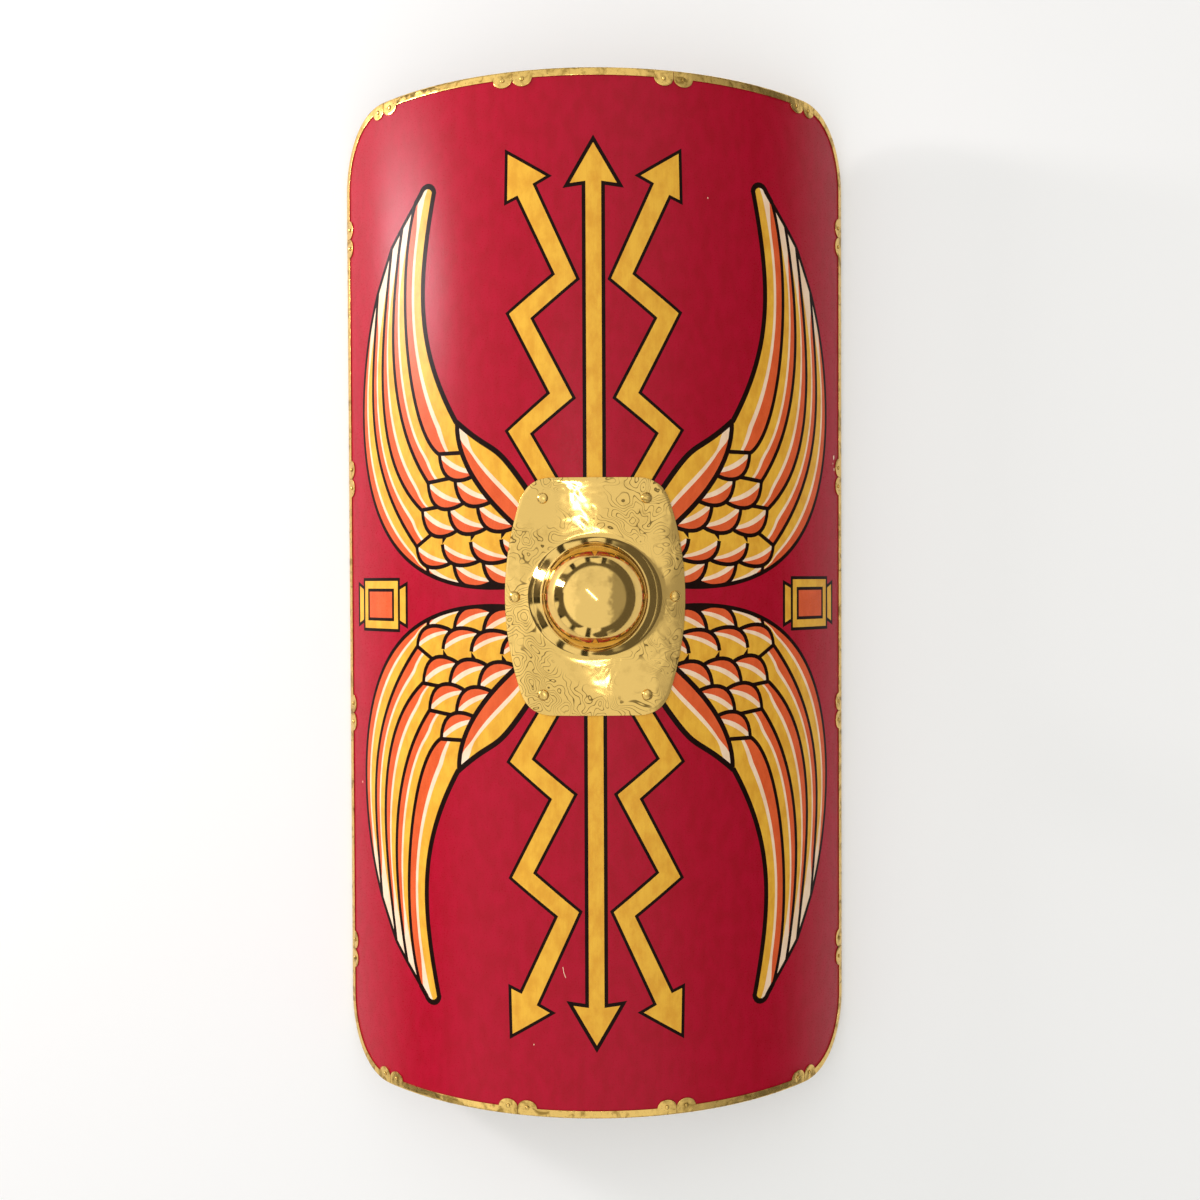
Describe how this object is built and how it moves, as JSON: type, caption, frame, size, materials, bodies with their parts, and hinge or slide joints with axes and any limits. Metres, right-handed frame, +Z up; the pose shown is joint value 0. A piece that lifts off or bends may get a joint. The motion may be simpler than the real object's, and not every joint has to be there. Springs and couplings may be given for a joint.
{
  "type": "shield",
  "caption": "Curved rectangular Roman legionary shield, painted red with wings and thunderbolts, with brass edging, a domed brass boss and a wooden grip behind it.",
  "frame": {"origin": "on the surface that the shield lies on, under the middle of its outline", "axes": "+Z up out of the boss as the shield lies face up on its two long rims, +Y towards the head of the shield, +X across it"},
  "size_m": [0.5518, 1.05, 0.2095],
  "materials": {
    "board": "plywood with satin red paint on the face and a painted pattern of wings and thunderbolts, plain wood behind",
    "edging": "thin rolled brass, lightly tarnished",
    "boss": "polished sheet brass, slightly uneven",
    "grip": "plain oiled wood"
  },
  "bodies": {
    "root": {"board": "board", "edging_01": "edging", "edging_02": "edging", "edging_03": "edging", "edging_04": "edging", "edging_05": "edging", "edging_06": "edging", "edging_07": "edging", "edging_08": "edging", "edging_09": "edging", "edging_10": "edging", "edging_11": "edging", "edging_12": "edging", "edging_13": "edging", "edging_14": "edging", "edging_15": "edging", "edging_16": "edging", "tack_01": "edging", "tack_02": "edging", "tack_03": "edging", "tack_04": "edging", "tack_05": "edging", "tack_06": "edging", "tack_07": "edging", "tack_08": "edging", "tack_09": "edging", "tack_10": "edging", "tack_11": "edging", "tack_12": "edging", "tack_13": "edging", "tack_14": "edging", "tack_15": "edging", "tack_16": "edging", "tack_17": "edging", "tack_18": "edging", "tack_19": "edging", "tack_20": "edging", "tack_21": "edging", "tack_22": "edging", "tack_23": "edging", "tack_24": "edging", "tack_25": "edging", "tack_26": "edging", "tack_27": "edging", "tack_28": "edging", "tack_29": "edging", "tack_30": "edging", "tack_31": "edging", "tack_32": "edging", "boss": "boss", "rivet_01": "boss", "rivet_02": "boss", "rivet_03": "boss", "rivet_04": "boss", "rivet_05": "boss", "rivet_06": "boss", "grip": "grip"}
  },
  "joints": []
}
